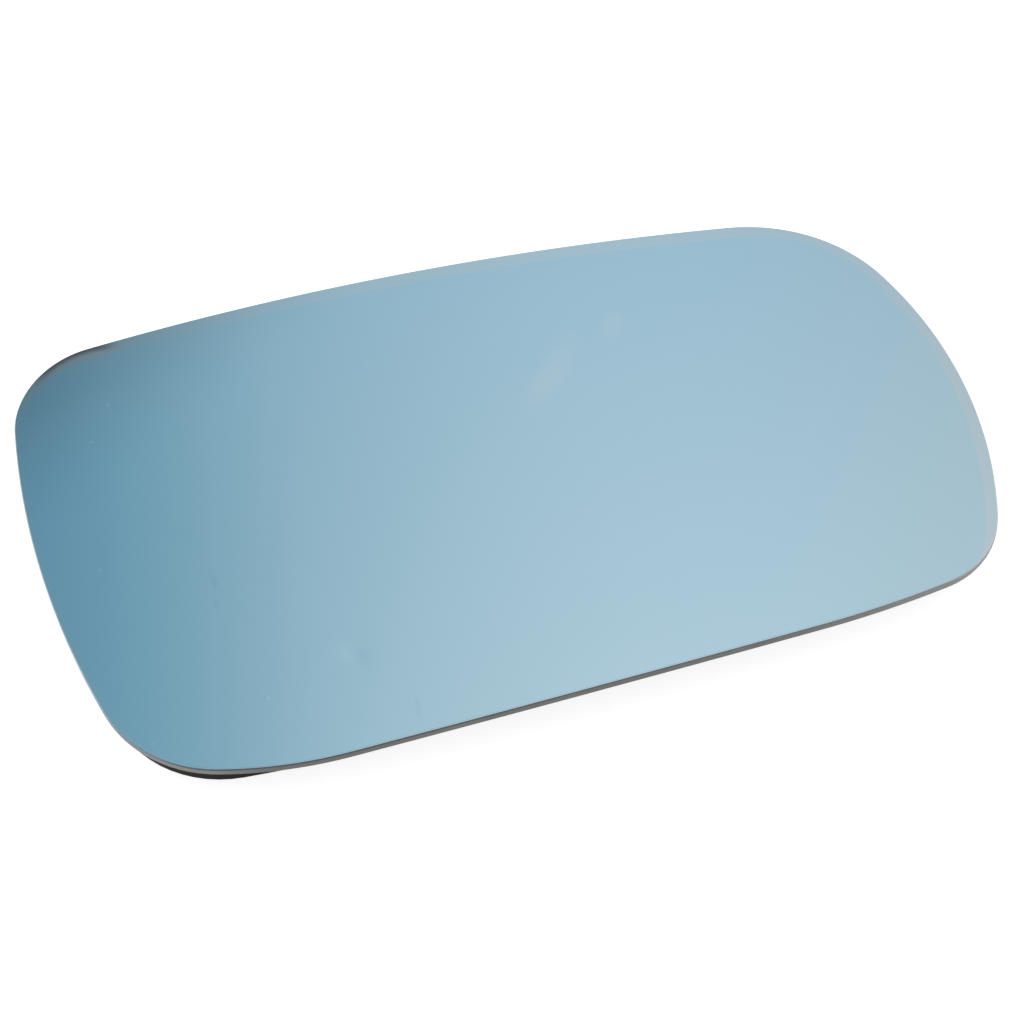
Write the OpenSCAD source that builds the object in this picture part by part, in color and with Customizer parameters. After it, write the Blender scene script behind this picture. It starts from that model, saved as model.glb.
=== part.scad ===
// Door mirror glass of a car, on the plastic plate that carries it.
// The glass is bent to a shallow dome and looks up. The part rests on the motor ring behind it,
// whose rim is the plane z = 0, and the pivot's axis is the Z axis.

/* [Glass outline] */
// Overall width of the glass
glass_w = 175; // [160:0.5:190]
// Overall height of the glass
glass_h = 104.5; // [98:0.5:115]
// Radius of the right side, which is the most bowed
right_side_r = 85; // [75:1:140]
// Radius of the long top side
top_side_r = 730; // [500:10:1200]
// Radius of the left side
left_side_r = 176; // [140:1:260]
// Radius of the long bottom side
bottom_side_r = 1800; // [1200:50:2600]
// Height above the middle at which the right side reaches out most
right_crest_y = -12; // [-20:0.5:0]
// Place along the width at which the top side would be highest
top_crest_x = -78; // [-84:0.5:-60]
// Height above the middle at which the left side reaches out most
left_crest_y = 16; // [5:0.5:20]
// Place along the width at which the bottom side is lowest
bottom_crest_x = 19; // [0:0.5:25]
// Length of the bottom side's left end, which curves up in a shoulder
left_ease = 46.5; // [40:0.5:52]
// Radius of that shoulder
left_ease_r = 83; // [70:1:110]
// Length of the bottom side's right end, which curves up a little
right_ease = 42.5; // [34:0.5:50]
// Radius of the right end
right_ease_r = 187; // [140:1:260]
// Radius of the top right corner
top_right_r = 33; // [26:0.5:38]
// Radius of the top left corner
top_left_r = 17; // [15:0.5:24]
// Radius of the lower left corner
lower_left_r = 26.5; // [20:0.5:34]
// Radius of the lower right corner
lower_right_r = 17; // [15:0.5:24]

/* [Glass section] */
// Radius of the dome that the face is bent to
dome_r = 1400; // [1000:50:2200]
// Thickness of the glass
glass_t = 1.8; // [1.6:0.1:3]
// Width of the bevel ground on the front rim of the edge
arris = 0.2; // [0.1:0.05:0.5]
// Width of the wider bevel ground on the rear rim
rear_arris = 0.35; // [0.1:0.05:0.6]

/* [Tint film] */
// Thickness of the blue film on the face
film_t = 0.1; // [0.05:0.01:0.2]
// Bare glass right of the film
film_right_gap = 2.5; // [1:0.1:4]
// Bare glass above the film
film_top_gap = 3; // [1:0.1:4]
// Bare glass left of the film
film_left_gap = 1.1; // [0.5:0.1:4]
// Bare glass below the film
film_bottom_gap = 0.4; // [0.4:0.1:4]
// Radius of the film's top right corner
film_top_right_r = 28; // [20:0.5:34]
// Radius of the film's top left corner
film_top_left_r = 14; // [8:0.5:20]
// Radius of the film's lower left corner
film_lower_left_r = 26; // [18:0.5:34]
// Radius of the film's lower right corner
film_lower_right_r = 13; // [8:0.5:20]

/* [Adhesive pad] */
// Thickness of the foam pad between glass and plate
pad_t = 0.8; // [0.5:0.1:1.5]
// Distance of the pad's edge from the edge of the glass
pad_inset = 6; // [5:0.5:10]

/* [Backing plate] */
// Distance of the plate's right and top edges from those of the glass
plate_inset = 3; // [2.5:0.1:4]
// Distance of the plate's left edge from that of the glass
plate_left_inset = 1.6; // [1.2:0.1:3]
// Distance of the plate's bottom edge from that of the glass
plate_bottom_inset = 3.1; // [2.5:0.1:4]
// Radius of the plate's lower left corner, sharper than that of the glass
plate_lower_left_r = 23.5; // [18:0.5:26]
// Radius of the plate's shoulder, fuller than that of the glass
plate_left_ease_r = 200; // [150:5:260]
// Thickness of the plate's floor
floor_t = 1.8; // [1.4:0.1:2.5]
// Depth of the skirt round the plate, measured from the pad
skirt_d = 3.5; // [3:0.1:4.5]
// Thickness of the skirt
skirt_t = 1.6; // [1.2:0.1:2.2]
// Depth of the ribs under the floor
rib_d = 2; // [1:0.1:2.5]
// Thickness of the ribs
rib_t = 1.4; // [1:0.1:2]
// Number of ribs that run out from the motor ring
rib_count = 12; // [8:1:16]
// Distance from the plate's edge to the rib that follows it
border_rib_inset = 9; // [7:0.5:10]
// How far the ribs' gussets reach out from the motor ring
gusset_w = 9; // [5:0.5:12]

/* [Motor ring] */
// Inner radius of the ring that takes the rim of the mirror motor
motor_ring_r = 33; // [30:0.5:36]
// Thickness of the motor ring
motor_ring_t = 2; // [1.6:0.1:2.6]
// Height of the motor ring below the floor
motor_ring_h = 8.4; // [7.5:0.1:12]
// Width of each of the ring's four windows for a snap hook
window_w = 10; // [8:0.5:12]
// Width of a snap hook
hook_w = 6.5; // [5:0.5:8]
// Thickness of a snap hook
hook_t = 1.6; // [1.2:0.1:2]
// How far the nose of a snap hook stands in
hook_nose = 1.2; // [0.8:0.1:1.6]

/* [Pivot ring] */
// Inner radius of the ring that snaps over the motor's pivot
pivot_ring_r = 11; // [9:0.5:12]
// Thickness of the pivot ring
pivot_ring_t = 1.8; // [1.4:0.1:2.2]
// How far the lip of the pivot ring stands in
pivot_lip = 0.7; // [0.4:0.1:1]
// Height of the lip's land
pivot_land = 1.6; // [1.4:0.1:2]
// Number of slots that part the pivot ring into spring tongues
pivot_slots = 4; // [3:1:6]
// Width of each slot
pivot_slot_w = 1.6; // [1:0.1:2.4]
// How far the pivot ring ends short of the motor ring's rim
pivot_ring_short = 1; // [0.5:0.1:2]
// Depth below the floor of the flat base inside the pivot ring
base_t = 0.4; // [0.3:0.1:0.8]

/* [Adjuster seats] */
// Distance of the adjusters from the pivot's axis
adjuster_reach = 23; // [21:0.5:24]
// Radius of the bore for an adjuster's ball end
adjuster_bore_r = 2.5; // [2:0.1:3]
// Wall round the adjuster's bore
adjuster_wall = 1.7; // [1.2:0.1:2]
// Height of the adjusters' mouths above the rim of the motor ring
adjuster_low = 2; // [1.5:0.1:3]
// Depth of the adjuster's bore
adjuster_depth = 5.5; // [4:0.5:6]
// Radius of the core hole that runs on from the bore through the floor
core_hole_r = 1.2; // [0.8:0.1:1.6]
// Gap between the two blades of a guide fork
fork_gap = 4.2; // [3:0.1:5]
// Length of the blades of a guide fork
fork_len = 8; // [6:0.5:9]
// Height of the blades below the floor
fork_h = 5.5; // [4:0.5:6.5]

/* [Hidden] */

// Smoothness of the round parts, of the dome's profile and of the outline
$fn = 96;
dome_fn = 3600;
corner_step = 6;
side_step = 5;

// Shapes: gaps to the glass in the order right, top, left, bottom, then the corner after each of
// those sides, then the length and radius of the left end and of the right end of the bottom
glass_shape = [
    [0, 0, 0, 0],
    [top_right_r, top_left_r, lower_left_r, lower_right_r],
    [left_ease, left_ease_r, right_ease, right_ease_r]
];
film_shape = [
    [film_right_gap, film_top_gap, film_left_gap, film_bottom_gap],
    [film_top_right_r, film_top_left_r, film_lower_left_r, film_lower_right_r],
    [left_ease - film_left_gap, left_ease_r, right_ease - film_right_gap, right_ease_r]
];
plate_shape = [
    [plate_inset, plate_inset, plate_left_inset, plate_bottom_inset],
    [top_right_r - plate_inset, top_left_r - plate_inset, plate_lower_left_r, lower_right_r - plate_inset],
    [left_ease, plate_left_ease_r, right_ease, right_ease_r]
];

// Radii of the layers, which all share the dome's centre
pad_r = dome_r - glass_t;
plate_r = pad_r - pad_t;
floor_r = plate_r - floor_t;
floor_mid_r = plate_r - floor_t / 2;
crown_z = motor_ring_h + floor_t + pad_t + glass_t;
dome_z = crown_z - dome_r;

// Space that surely holds the whole part, for cutting tools
reach = glass_w;
tool_h = 3 * crown_z;

// Cut surfaces run past each other by this much
over = 1;

// Outer radii and levels on the back of the plate
motor_ring_outer = motor_ring_r + motor_ring_t;
pivot_ring_outer = pivot_ring_r + pivot_ring_t;
adjuster_outer = adjuster_bore_r + adjuster_wall;
floor_z = motor_ring_h;
base_z = floor_z - base_t;
sunk_z = floor_z + floor_t / 3;

// Levels on a snap hook: its foot, and its nose from the lead-in up to the catch
hook_gap = 0.8;
nose_low = 1.6 * hook_nose;
nose_high = 2 * hook_nose;
catch_z = 3 * hook_nose;

// Lowest level of a rib's gusset, and height of a web between the rings
gusset_low = 1.5;
web_h = 3;

// Height of the dome of the given radius above the point at the given distance from the axis
function dome_height(radius, distance) = dome_z + sqrt(radius * radius - distance * distance);

// Point where two circles cross, the one that lies further in the given direction
function crossing(a, ra, b, rb, direction) =
    let (gap = norm(b - a),
         along = (ra * ra - rb * rb + gap * gap) / (2 * gap),
         off = sqrt(max(0, ra * ra - along * along)),
         unit = (b - a) / gap,
         foot = a + unit * along,
         step = [-unit.y, unit.x] * off)
    (foot + step) * direction > (foot - step) * direction ? foot + step : foot - step;

function bearing(from, to) = atan2(to.y - from.y, to.x - from.x);

// Arc of one side as its centre and radius: crest is where it reaches out most, toward where it faces
function side_arc(crest, toward, radius) = [crest - radius * toward, radius];

// Tighter arc that takes over from the bottom side at the given place along the width
function end_arc(bottom, place, radius) =
    let (across = place - bottom[0].x,
         toward = [across, -sqrt(bottom[1] * bottom[1] - across * across)] / bottom[1])
    [bottom[0] + (bottom[1] - radius) * toward, radius];

// Corner arc that touches two other arcs from inside
function corner_arc(a, b, radius, direction) =
    [crossing(a[0], a[1] - radius, b[0], b[1] - radius, direction), radius];

// Arcs of a shape, anticlockwise from the right side, each touching the next
function arcs_of(shape) =
    let (gaps = shape[0],
         corners = shape[1],
         ends = shape[2],
         right_x = glass_w / 2 - gaps[0],
         top_y = glass_h / 2 - gaps[1],
         left_x = gaps[2] - glass_w / 2,
         bottom_y = gaps[3] - glass_h / 2,
         right = side_arc([right_x, right_crest_y], [1, 0], right_side_r),
         top = side_arc([top_crest_x, top_y], [0, 1], top_side_r),
         left = side_arc([left_x, left_crest_y], [-1, 0], left_side_r),
         bottom = side_arc([bottom_crest_x, bottom_y], [0, -1], bottom_side_r),
         left_end = end_arc(bottom, left_x + ends[0], ends[1]),
         right_end = end_arc(bottom, right_x - ends[2], ends[3]))
    [
        right, corner_arc(right, top, corners[0], [1, 1]),
        top, corner_arc(top, left, corners[1], [-1, 1]),
        left, corner_arc(left, left_end, corners[2], [-1, -1]),
        left_end, bottom, right_end,
        corner_arc(right_end, right, corners[3], [1, -1])
    ];

// Direction in which two arcs touch, which is the same from both centres
function meeting(a, b) = a[1] > b[1] ? bearing(a[0], b[0]) : bearing(b[0], a[0]);

// Points of an arc drawn in by an inset, from its start up to, but without, its end
function arc_points(arc, start, sweep, inset) =
    let (count = ceil(max(sweep / corner_step, sweep * PI / 180 * arc[1] / side_step)))
    [for (i = [0 : count - 1]) let (t = start + sweep * i / count)
        arc[0] + (arc[1] - inset) * [cos(t), sin(t)]];

// Outline of a shape, anticlockwise, drawn in by an inset
function outline(shape, inset = 0) =
    let (arcs = arcs_of(shape),
         count = len(arcs),
         ends = [for (i = [0 : count - 1]) meeting(arcs[i], arcs[(i + 1) % count])])
    [for (i = [0 : count - 1])
        let (start = ends[(i + count - 1) % count])
        each arc_points(arcs[i], start, (ends[i] - start + 360) % 360, inset)];

// Upright block with such an outline, tall enough to cut any layer from
module column(shape, inset = 0) {
    translate([0, 0, -tool_h / 2])
        linear_extrude(2 * tool_h)
            polygon(outline(shape, inset));
}

// Everything under the dome of the given radius
module under_dome(radius) {
    rotate_extrude()
        intersection() {
            translate([0, dome_z]) circle(radius, $fn = dome_fn);
            translate([0, -tool_h]) square([reach, 2 * tool_h]);
        }
}

// Bent layer between two radii of the dome
module layer(outer, inner) {
    rotate_extrude()
        intersection() {
            difference() {
                translate([0, dome_z]) circle(outer, $fn = dome_fn);
                translate([0, dome_z]) circle(inner, $fn = dome_fn);
            }
            translate([0, -tool_h]) square([reach, 2 * tool_h]);
        }
}

// Ring about the axis, from the given level up into the floor
module ring(inner, outer, low) {
    translate([0, 0, low])
        difference() {
            cylinder(h = dome_height(floor_mid_r, outer) - low, r = outer);
            translate([0, 0, -over]) cylinder(h = tool_h, r = inner);
        }
}

// One level of the ground blank: the outline at an inset, at a height over a layer's dome
function blank_level(inset, radius, lift) =
    [for (p = outline(glass_shape, inset))
        [p.x, p.y, dome_height(radius, norm(p)) + lift]];

// Edge of the glass with its two bevels, run on past both faces for the layer to cut
module ground_blank() {
    levels = [
        blank_level(over, pad_r, rear_arris - over - over),
        blank_level(over, pad_r, rear_arris - over),
        blank_level(0, pad_r, rear_arris),
        blank_level(0, dome_r, -arris),
        blank_level(over, dome_r, over - arris),
        blank_level(over, dome_r, tool_h)
    ];
    count = len(levels[0]);
    walls = [for (j = [0 : len(levels) - 2], i = [0 : count - 1])
        let (a = j * count + i, b = j * count + (i + 1) % count)
        each [[a, b + count, b], [a, a + count, b + count]]];
    top = (len(levels) - 1) * count;
    polyhedron(
        points = [for (level = levels) each level],
        faces = concat(walls, [[for (i = [0 : count - 1]) i]],
                       [[for (i = [count - 1 : -1 : 0]) top + i]]));
}

module mirror_glass() {
    color([0.70, 0.75, 0.78])
        intersection() {
            ground_blank();
            layer(dome_r, pad_r);
        }
}

module tint_film() {
    color([0.53, 0.68, 0.76])
        intersection() {
            column(film_shape);
            layer(dome_r + film_t, dome_r);
        }
}

module adhesive_pad() {
    color([0.20, 0.20, 0.20])
        intersection() {
            column(glass_shape, pad_inset);
            layer(pad_r, plate_r);
        }
}

// Bent tray: the floor with the skirt round it
module tray() {
    difference() {
        intersection() {
            column(plate_shape);
            layer(plate_r, plate_r - skirt_d);
        }
        intersection() {
            column(plate_shape, skirt_t);
            layer(floor_r, floor_r - tool_h / 2);
        }
    }
}

// Ribs that run out from the motor ring, deeper where they meet it
module radial_ribs() {
    rib_r = floor_r - rib_d;
    foot_r = motor_ring_outer - motor_ring_t / 2;
    tip_r = motor_ring_outer + gusset_w;
    intersection() {
        column(plate_shape, skirt_t / 2);
        under_dome(floor_mid_r);
        rotate_extrude()
            difference() {
                translate([foot_r, 0]) square([reach, crown_z]);
                difference() {
                    translate([0, dome_z]) circle(rib_r, $fn = dome_fn);
                    polygon([[foot_r - over, gusset_low], [motor_ring_outer, gusset_low],
                             [tip_r, dome_height(rib_r, tip_r)], [tip_r, crown_z],
                             [foot_r - over, crown_z]]);
                }
            }
        for (i = [0 : rib_count - 1])
            rotate(360 / rib_count * (i + 0.5))
                translate([0, -rib_t / 2, 0])
                    cube([reach, rib_t, crown_z]);
    }
}

// Rib that follows the plate's edge and stops at the motor ring
module border_rib() {
    intersection() {
        difference() {
            column(plate_shape, border_rib_inset);
            column(plate_shape, border_rib_inset + rib_t);
            cylinder(h = tool_h, r = motor_ring_r + motor_ring_t / 2);
        }
        layer(floor_mid_r, floor_r - rib_d);
    }
}

// Snap hook, drawn at +X: a tongue in its window with a nose that points in
module snap_hook() {
    translate([0, hook_w / 2, 0])
        rotate([90, 0, 0])
            linear_extrude(hook_w)
                polygon([
                    [motor_ring_r, dome_height(floor_mid_r, motor_ring_r)],
                    [motor_ring_r, catch_z],
                    [motor_ring_r - hook_nose, nose_high],
                    [motor_ring_r - hook_nose, nose_low],
                    [motor_ring_r, hook_gap],
                    [motor_ring_r + hook_t, hook_gap],
                    [motor_ring_r + hook_t, dome_height(floor_mid_r, motor_ring_r)]
                ]);
}

// Motor ring with a window at each diagonal, and the snap hook in it
module motor_ring() {
    difference() {
        ring(motor_ring_r, motor_ring_outer, 0);
        for (turn_z = [45 : 90 : 315])
            rotate(turn_z)
                translate([motor_ring_r - over, -window_w / 2, -over])
                    cube([motor_ring_t + 2 * over, window_w, floor_z - over]);
    }
    for (turn_z = [45 : 90 : 315])
        rotate(turn_z) snap_hook();
}

// Pivot ring: spring tongues with a lip at the mouth that closes behind the motor's ball
module pivot_ring() {
    top_z = dome_height(floor_mid_r, pivot_ring_outer);
    difference() {
        rotate_extrude()
            polygon([
                [0, top_z],
                [0, base_z],
                [pivot_ring_r, base_z],
                [pivot_ring_r, pivot_ring_short + pivot_land + 2 * pivot_lip],
                [pivot_ring_r - pivot_lip, pivot_ring_short + pivot_land + pivot_lip],
                [pivot_ring_r - pivot_lip, pivot_ring_short + pivot_lip],
                [pivot_ring_r, pivot_ring_short],
                [pivot_ring_outer, pivot_ring_short],
                [pivot_ring_outer, top_z]
            ]);
        for (i = [0 : pivot_slots - 1])
            rotate(360 / pivot_slots * (i + 0.5))
                translate([0, -pivot_slot_w / 2, 0])
                    cube([pivot_ring_outer + over, pivot_slot_w, base_z - 2 * over]);
    }
}

// Post for an adjuster's ball end, drawn at +X, tied to both rings by a web
module adjuster_post() {
    translate([adjuster_reach, 0, adjuster_low])
        cylinder(h = sunk_z - adjuster_low, r = adjuster_outer);
    translate([pivot_ring_r + pivot_ring_t / 2, -rib_t / 2, floor_z - web_h])
        cube([motor_ring_r - pivot_ring_r, rib_t, sunk_z - floor_z + web_h]);
}

// Bore for the ball end, drawn at +X, with the hole that its core pin leaves in the floor
module adjuster_bore() {
    translate([adjuster_reach, 0, adjuster_low - over])
        cylinder(h = adjuster_depth + over, r = adjuster_bore_r);
    translate([adjuster_reach, 0, adjuster_low])
        cylinder(h = tool_h, r = core_hole_r);
}

// Fork that keeps the plate from turning on its pivot, drawn at +X
module guide_fork() {
    for (side = [-1, 1])
        translate([adjuster_reach, side * (fork_gap + rib_t) / 2, floor_z - fork_h])
            translate([-fork_len / 2, -rib_t / 2, 0])
                cube([fork_len, rib_t, sunk_z - floor_z + fork_h]);
}

module backing_plate() {
    color([0.11, 0.10, 0.10])
        difference() {
            union() {
                tray();
                radial_ribs();
                border_rib();
                motor_ring();
                pivot_ring();
                for (turn_z = [0, -90])
                    rotate(turn_z) adjuster_post();
                for (turn_z = [90, 180])
                    rotate(turn_z) guide_fork();
            }
            for (turn_z = [0, -90])
                rotate(turn_z) adjuster_bore();
        }
}

mirror_glass();
tint_film();
adhesive_pad();
backing_plate();
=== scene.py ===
# %% [markdown]
# # The glass of a car's door mirror
# This notebook dresses a mirror glass that was drawn as solids beforehand: a bent glass with a
# mirror coat on its front, a thin blue film on that, a foam pad, and a black moulded plate behind.
# The solids are the frame. They are loaded first and never moved, and every finished piece is
# laid exactly where its solid lies. Lengths are thought of in millimetres, as on a drawing, and
# `MM` turns them into Blender's metres.
# %% Load the frame
import math
import bpy
from mathutils import Matrix, Vector


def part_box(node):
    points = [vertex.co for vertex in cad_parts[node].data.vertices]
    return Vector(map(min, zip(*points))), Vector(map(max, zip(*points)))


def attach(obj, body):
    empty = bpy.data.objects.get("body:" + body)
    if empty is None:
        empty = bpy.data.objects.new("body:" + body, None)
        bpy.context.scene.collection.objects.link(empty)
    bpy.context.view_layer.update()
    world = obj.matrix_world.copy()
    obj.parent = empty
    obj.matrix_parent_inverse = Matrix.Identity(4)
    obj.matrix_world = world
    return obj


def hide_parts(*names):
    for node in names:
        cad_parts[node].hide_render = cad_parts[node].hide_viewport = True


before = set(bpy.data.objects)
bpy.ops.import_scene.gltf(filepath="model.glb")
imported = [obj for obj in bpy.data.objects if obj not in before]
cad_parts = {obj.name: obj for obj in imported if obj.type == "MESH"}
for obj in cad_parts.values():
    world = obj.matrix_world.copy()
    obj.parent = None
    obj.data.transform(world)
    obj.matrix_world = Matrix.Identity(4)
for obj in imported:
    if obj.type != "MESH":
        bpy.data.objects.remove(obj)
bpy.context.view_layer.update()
MM = 0.001
print("solids:", sorted(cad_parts))

# %% [markdown]
# ## Colours and nodes
# Colours are written as they look on a screen, in sRGB hex, and one function turns them into the
# linear values that the shaders count with. One helper adds a node of any kind: settings are its
# properties, and an input is given either a value or another node's output to link to.
# %% Colour and node helpers
def colour(hex_code):
    """Linear red, green, blue and alpha of an sRGB hex colour."""
    channels = [int(hex_code[i:i + 2], 16) / 255 for i in (1, 3, 5)]
    linear = [c / 12.92 if c <= 0.04045 else ((c + 0.055) / 1.055) ** 2.4 for c in channels]
    return (*linear, 1.0)


def add_node(tree, kind, inputs=None, **settings):
    """Adds one node, sets its properties, and fills or links its inputs by name or number."""
    made = tree.nodes.new(kind)
    for name, value in settings.items():
        setattr(made, name, value)
    for name, value in (inputs or {}).items():
        if isinstance(value, bpy.types.NodeSocket):
            tree.links.new(value, made.inputs[name])
        else:
            made.inputs[name].default_value = value
    return made


def new_material(name, **shader_values):
    """A material with one Principled shader, whose uniform values sit on its own sockets."""
    material = bpy.data.materials.new(name)
    material.use_nodes = True
    shader = material.node_tree.nodes["Principled BSDF"]
    for socket, value in shader_values.items():
        shader.inputs[socket.replace("_", " ")].default_value = value
    return material, material.node_tree, shader


print("#808080 on a screen is", round(colour("#808080")[0], 3), "in linear light")

# %% [markdown]
# ## The outline
# A mirror glass is cut along a chain of arcs, each touching the next. Four of them are long, one
# for each side. The bottom side hands over to a tighter arc at either end, and a small arc rounds
# each corner. Where two arcs touch, the point lies in the same direction from both centres, so
# the chain can be drawn from centres and radii alone. Making every radius shorter by the same
# inset gives an exactly parallel outline, which is what an edge and a bevel need. Points along
# the chain are at most 2 degrees and 2 mm apart, so that no corner shows as a polygon.
# %% Arcs that touch
def crossing(a, ra, b, rb, towards):
    """Where two circles cross, on the side that the corner points to."""
    gap = (b - a).length
    along = (ra * ra - rb * rb + gap * gap) / (2 * gap)
    off = math.sqrt(max(0.0, ra * ra - along * along))
    unit = (b - a) / gap
    foot = a + unit * along
    step = Vector((-unit.y, unit.x)) * off
    return max((foot + step, foot - step), key=lambda point: point.dot(Vector(towards)))


def side_arc(crest, towards, radius):
    """Centre and radius of a side, from the point where it reaches out most."""
    return Vector(crest) - radius * Vector(towards), radius


def end_arc(side, x, radius):
    """Tighter arc that takes over from the bottom side at x."""
    centre, side_r = side
    across = (x - centre.x) / side_r
    return centre + (side_r - radius) * Vector((across, -math.sqrt(1 - across * across))), radius


def corner_arc(a, b, radius, towards):
    """Small arc that touches two others from inside."""
    return crossing(a[0], a[1] - radius, b[0], b[1] - radius, towards), radius


def meeting(a, b):
    """Direction in which two arcs touch, seen from either centre."""
    wide, tight = (a, b) if a[1] > b[1] else (b, a)
    reach = tight[0] - wide[0]
    return math.atan2(reach.y, reach.x)


# %% Outline of a shape
GLASS_W = 175.0
GLASS_H = 104.5
RIGHT_R, RIGHT_CREST_Y = 85.0, -12.0
TOP_R, TOP_CREST_X = 730.0, -78.0
LEFT_R, LEFT_CREST_Y = 176.0, 16.0
BOTTOM_R, BOTTOM_CREST_X = 1800.0, 19.0
LEFT_END_X, LEFT_END_R = -41.0, 83.0
RIGHT_END_X, RIGHT_END_R = 45.0, 187.0
ARC_TURN = math.radians(2.0)
ARC_STEP = 2.0


def arcs_of(gaps, corners):
    """The chain of arcs, anticlockwise, from a gap for each side and a radius for each corner."""
    right_x, top_y = GLASS_W / 2 - gaps[0], GLASS_H / 2 - gaps[1]
    left_x, bottom_y = gaps[2] - GLASS_W / 2, gaps[3] - GLASS_H / 2
    right = side_arc((right_x, RIGHT_CREST_Y), (1, 0), RIGHT_R)
    top = side_arc((TOP_CREST_X, top_y), (0, 1), TOP_R)
    left = side_arc((left_x, LEFT_CREST_Y), (-1, 0), LEFT_R)
    bottom = side_arc((BOTTOM_CREST_X, bottom_y), (0, -1), BOTTOM_R)
    left_end = end_arc(bottom, LEFT_END_X, LEFT_END_R)
    right_end = end_arc(bottom, RIGHT_END_X, RIGHT_END_R)
    return [right, corner_arc(right, top, corners[0], (1, 1)),
            top, corner_arc(top, left, corners[1], (-1, 1)),
            left, corner_arc(left, left_end, corners[2], (-1, -1)),
            left_end, bottom, right_end, corner_arc(right_end, right, corners[3], (1, -1))]


def outline(shape, inset=0.0):
    """Points of a shape's outline in mm, anticlockwise, drawn in by an inset."""
    chain = arcs_of(*shape)
    ends = [meeting(arc, chain[(i + 1) % len(chain)]) for i, arc in enumerate(chain)]
    points = []
    for i, (centre, radius) in enumerate(chain):
        sweep = (ends[i] - ends[i - 1]) % math.tau
        count = math.ceil(max(sweep / ARC_TURN, sweep * radius / ARC_STEP))
        for j in range(count):
            turn = ends[i - 1] + sweep * j / count
            points.append(centre + (radius - inset) * Vector((math.cos(turn), math.sin(turn))))
    return points


GLASS_SHAPE = ((0.0, 0.0, 0.0, 0.0), (33.0, 17.0, 26.5, 17.0))
FILM_SHAPE = ((2.3, 3.0, 1.1, 0.4), (28.0, 15.0, 26.0, 11.5))
print("outline points:", len(outline(GLASS_SHAPE)), "and", len(outline(FILM_SHAPE)))

# %% [markdown]
# ## A flat sheet, ready to be bent
# The glass and the film are both made flat first, as the real ones are cut flat. A stack of
# rings describes the section: each ring is the outline at some inset and level, and the two
# faces are filled with rings that shrink towards the middle. The rings keep the mesh even, so
# that reflections run over it without a kink. Each face remembers its zone, which later picks
# its finish.
# %% Flat sheets
FRONT_RINGS = 66
BACK_RINGS = 22


def shrunk(points, count, level):
    """Rings that shrink the outline towards the middle, the largest of them last."""
    return [[(p.x * j / count, p.y * j / count, level) for p in points] for j in range(1, count)]


def flat_sheet(name, shape, front_zone, back_zone, section):
    """A closed flat sheet. Its section lists rings from the front, as (inset, level, zone below)."""
    levels = [[(p.x, p.y, level) for p in outline(shape, inset)] for inset, level, zone in section]
    front = shrunk(outline(shape, section[0][0]), FRONT_RINGS, section[0][1])
    back = shrunk(outline(shape, section[-1][0]), BACK_RINGS, section[-1][1])
    rings = front + levels + back[::-1]
    bands = [front_zone] * len(front) + [zone for inset, level, zone in section[:-1]]
    bands += [back_zone] * len(back)
    count = len(levels[0])
    vertices = [v for ring in rings for v in ring] + [(0, 0, section[0][1]), (0, 0, section[-1][1])]
    faces = []
    for j in range(len(rings) - 1):
        for i in range(count):
            n = (i + 1) % count
            faces.append((j * count + i, (j + 1) * count + i, (j + 1) * count + n, j * count + n))
    zones = [zone for zone in bands for i in range(count)]
    first, last = len(vertices) - 2, len(vertices) - 1
    tail = (len(rings) - 1) * count
    faces += [(first, i, (i + 1) % count) for i in range(count)]
    faces += [(last, tail + (i + 1) % count, tail + i) for i in range(count)]
    zones += [front_zone] * count + [back_zone] * count
    mesh = bpy.data.meshes.new(name)
    mesh.from_pydata([(x * MM, y * MM, z * MM) for x, y, z in vertices], [], faces)
    mesh.attributes.new("zone", "INT", "FACE").data.foreach_set("value", zones)
    piece = bpy.data.objects.new(name, mesh)
    bpy.context.scene.collection.objects.link(piece)
    print(name, "flat sheet:", len(faces), "faces")
    return piece


# %% [markdown]
# ## Bending to the dome, by Geometry Nodes
# The bent form follows one rule, so it is a node tree and not a sculpted shape: a point at
# distance d from the middle sinks by d² / (R + √(R² − d²)), which is the sag of a ball of radius
# R. The tree has named inputs for the dome, for one shallow dent that the face shows, and for
# the faint waviness of a film that was wiped on by hand. They are in metres and radians, as
# Blender counts. Its sums are written as a list, one line for each Math node, so that they read
# like the rule. A noise swings about 0.5, so that is taken off it first, and the ripple goes both
# up and down. Dent and ripple only touch what lies above `TOP_LEVEL`, so the back stays true. The
# tree ends by giving each zone its finish.
# %% Inputs and sums of the bend
SHEET_INPUTS = {"Dome radius": 1.4, "Crown height": 0.013,
                "Dent x": 0.0, "Dent y": 0.0, "Dent length": 0.003, "Dent width": 0.002,
                "Dent turn": 0.0, "Dent depth": 0.0, "Ripple height": 0.0, "Ripple size": 0.01}
TOP_LEVEL = -0.00005
NOISE_MIDDLE = 0.5
BENDING = [
    ("radius", "ADD", "Dome radius", "level"),
    ("x squared", "MULTIPLY", "x", "x"),
    ("y squared", "MULTIPLY", "y", "y"),
    ("d squared", "ADD", "x squared", "y squared"),
    ("R squared", "MULTIPLY", "radius", "radius"),
    ("under the root", "SUBTRACT", "R squared", "d squared"),
    ("root", "SQRT", "under the root"),
    ("reach", "ADD", "radius", "root"),
    ("sag", "DIVIDE", "d squared", "reach"),
    ("flat height", "ADD", "Crown height", "level"),
    ("dome", "SUBTRACT", "flat height", "sag")]
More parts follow.
